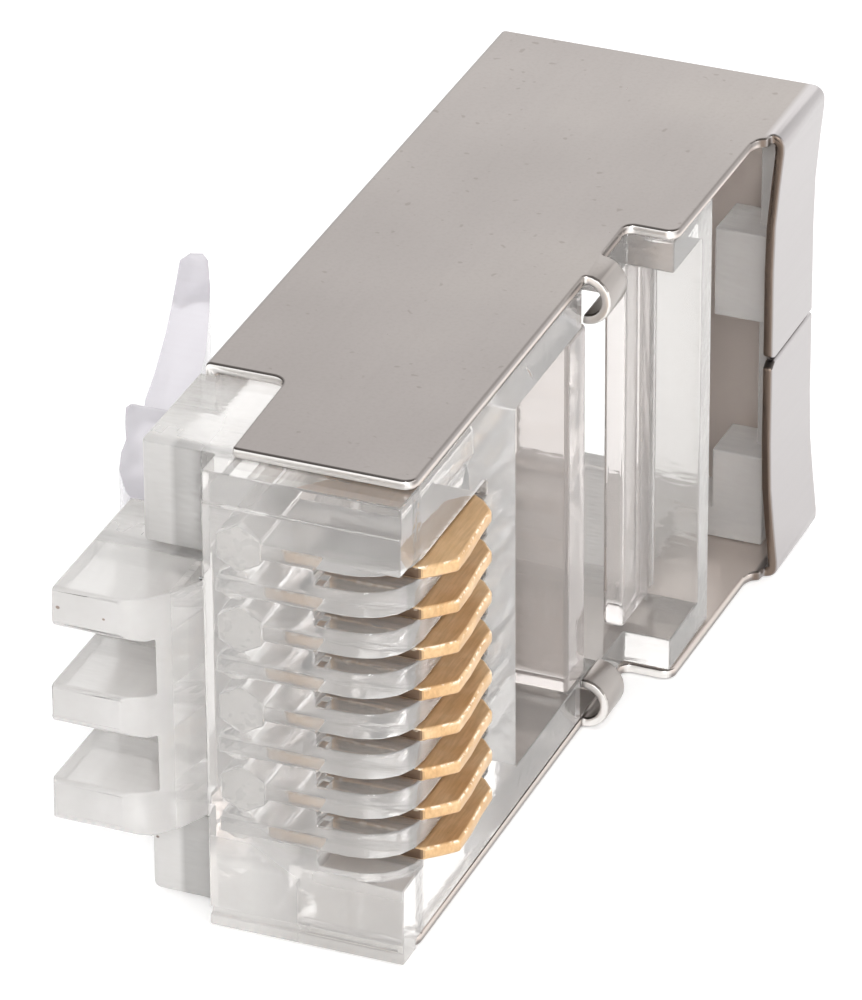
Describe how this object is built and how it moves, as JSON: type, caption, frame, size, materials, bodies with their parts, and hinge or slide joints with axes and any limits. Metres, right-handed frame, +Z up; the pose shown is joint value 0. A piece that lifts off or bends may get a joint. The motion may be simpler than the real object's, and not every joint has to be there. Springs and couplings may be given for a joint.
{
  "type": "shielded ethernet plug",
  "caption": "Uncrimped shielded modular network plug: clear moulded body with latch, folded metal shell with curled ears, gold blade contacts, clamp bars and an open cable entry",
  "frame": {"origin": "Middle of the footprint of the whole part, on the plane it stands on, which is one narrow side of the metal shell.", "axes": "+Z up, across the width of the plug; -Y toward the nose that enters the jack, +Y toward the cable end; +X toward the contacts, -X toward the latch."},
  "size_m": [0.0138, 0.0232, 0.0118],
  "materials": {
    "clear_plastic": "clear glossy moulded polycarbonate",
    "nickel_sheet": "satin nickel-plated folded sheet",
    "gold_contact": "gold-plated stamped blade"
  },
  "bodies": {
    "plug_body": {"housing": "clear_plastic", "shield": "nickel_sheet"},
    "latch": {"latch_lever": "clear_plastic"},
    "conductor_bar": {"conductor_clamp_bar": "clear_plastic"},
    "cable_bar": {"cable_clamp_bar": "clear_plastic"},
    "blade_1": {"contact_1": "gold_contact"},
    "blade_2": {"contact_2": "gold_contact"},
    "blade_3": {"contact_3": "gold_contact"},
    "blade_4": {"contact_4": "gold_contact"},
    "blade_5": {"contact_5": "gold_contact"},
    "blade_6": {"contact_6": "gold_contact"},
    "blade_7": {"contact_7": "gold_contact"},
    "blade_8": {"contact_8": "gold_contact"}
  },
  "joints": [
    {"name": "latch_press", "type": "hinge", "parent": "plug_body", "child": "latch", "pos_m": [-0.00139, -0.00736, 0.0059], "axis": [0, 0, 1], "range_deg": [-18, 0], "stiffness_Nm_per_rad": 0.1},
    {"name": "conductor_bar_press", "type": "slide", "parent": "plug_body", "child": "conductor_bar", "axis": [-1, 0, 0], "range_m": [0, 0.001]},
    {"name": "cable_bar_press", "type": "slide", "parent": "plug_body", "child": "cable_bar", "axis": [-1, 0, 0], "range_m": [0, 0.001]},
    {"name": "contact_1_press", "type": "slide", "parent": "plug_body", "child": "blade_1", "axis": [-1, 0, 0], "range_m": [0, 0.0009]},
    {"name": "contact_2_press", "type": "slide", "parent": "plug_body", "child": "blade_2", "axis": [-1, 0, 0], "range_m": [0, 0.0009]},
    {"name": "contact_3_press", "type": "slide", "parent": "plug_body", "child": "blade_3", "axis": [-1, 0, 0], "range_m": [0, 0.0009]},
    {"name": "contact_4_press", "type": "slide", "parent": "plug_body", "child": "blade_4", "axis": [-1, 0, 0], "range_m": [0, 0.0009]},
    {"name": "contact_5_press", "type": "slide", "parent": "plug_body", "child": "blade_5", "axis": [-1, 0, 0], "range_m": [0, 0.0009]},
    {"name": "contact_6_press", "type": "slide", "parent": "plug_body", "child": "blade_6", "axis": [-1, 0, 0], "range_m": [0, 0.0009]},
    {"name": "contact_7_press", "type": "slide", "parent": "plug_body", "child": "blade_7", "axis": [-1, 0, 0], "range_m": [0, 0.0009]},
    {"name": "contact_8_press", "type": "slide", "parent": "plug_body", "child": "blade_8", "axis": [-1, 0, 0], "range_m": [0, 0.0009]}
  ]
}
